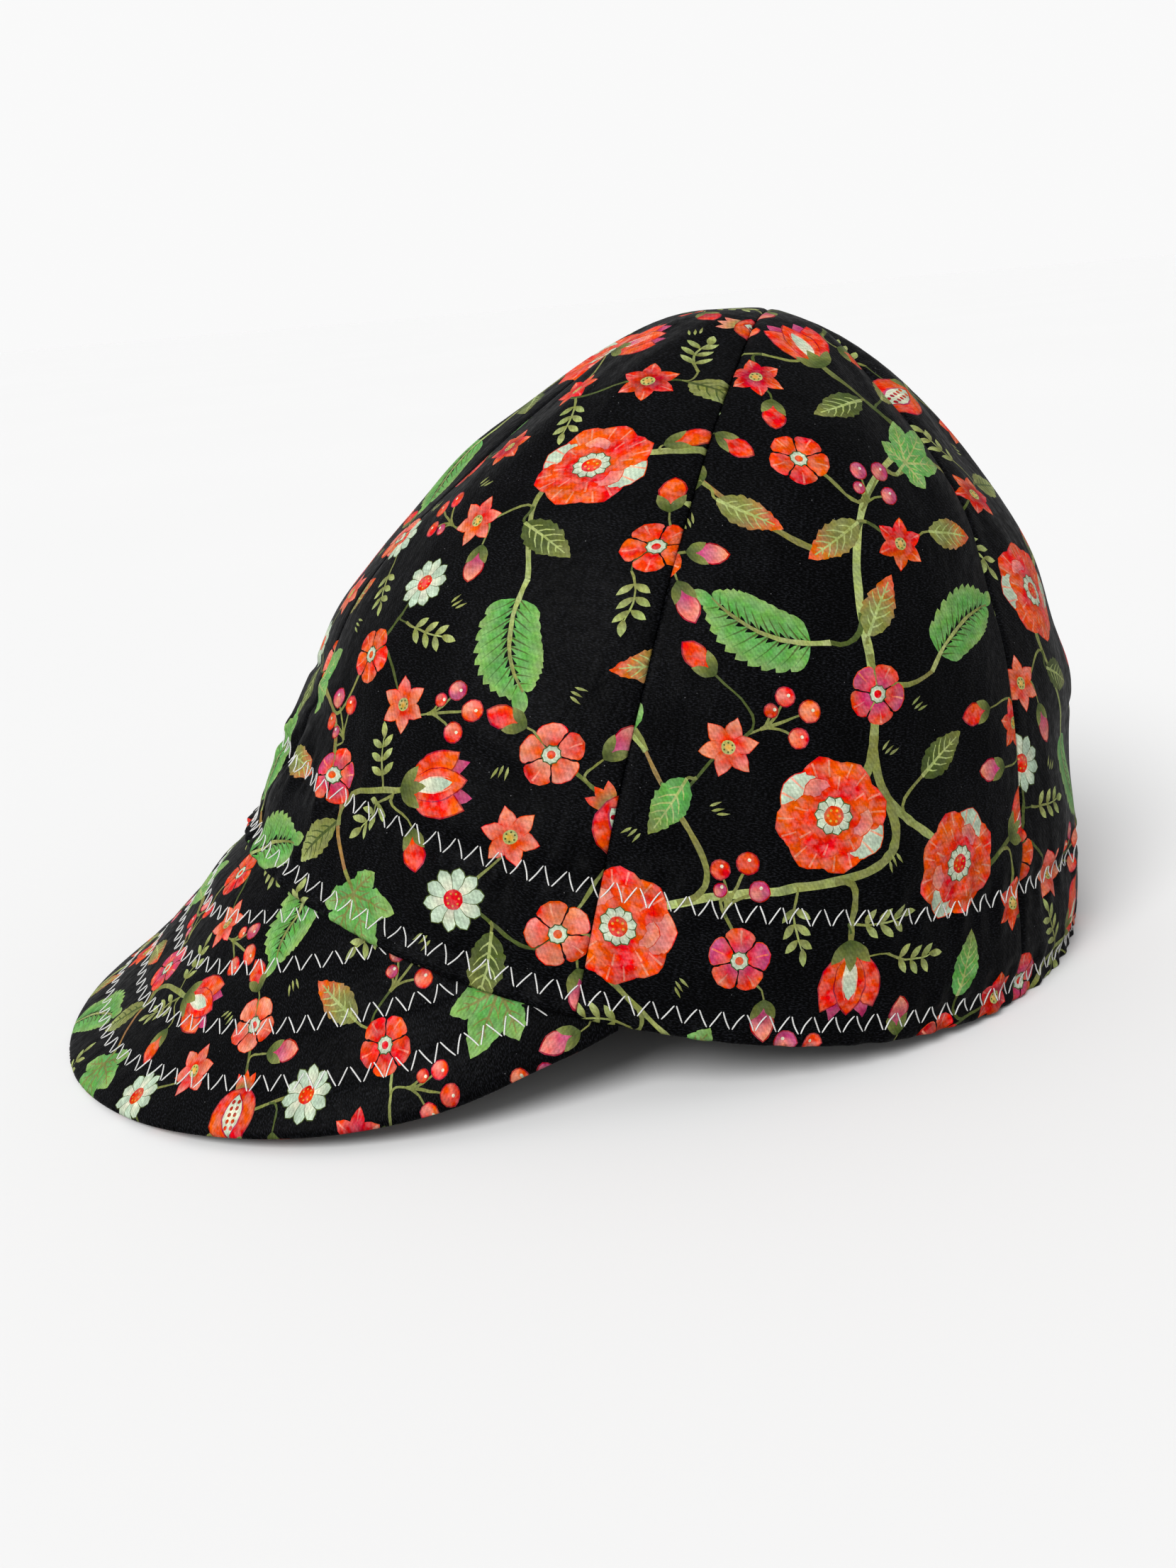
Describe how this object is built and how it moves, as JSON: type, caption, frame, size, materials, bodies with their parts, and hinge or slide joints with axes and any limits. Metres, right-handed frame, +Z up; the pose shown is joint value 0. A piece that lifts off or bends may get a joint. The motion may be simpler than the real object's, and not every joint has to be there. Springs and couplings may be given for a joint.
{
  "type": "welding cap",
  "caption": "Six-panel cotton welding cap with a short soft peak, an inner band and rows of zigzag stitching, resting on its rim and peak.",
  "frame": {"origin": "middle of the cap's box at the level of the surface that it rests on", "axes": "+Z up, -Y the way the peak points, +X the wearer's left"},
  "size_m": [0.1794, 0.255, 0.1529],
  "materials": {
    "printed_cotton": "black cotton sateen with a floral print, soft low sheen",
    "band_cotton": "plain black cotton, matt",
    "white_thread": "white spun polyester sewing thread"
  },
  "bodies": {
    "root": {"crown_panel_front_left": "printed_cotton", "crown_panel_side_left": "printed_cotton", "crown_panel_back_left": "printed_cotton", "crown_panel_back_right": "printed_cotton", "crown_panel_side_right": "printed_cotton", "crown_panel_front_right": "printed_cotton", "inner_band": "band_cotton", "peak": "printed_cotton"}
  },
  "joints": []
}
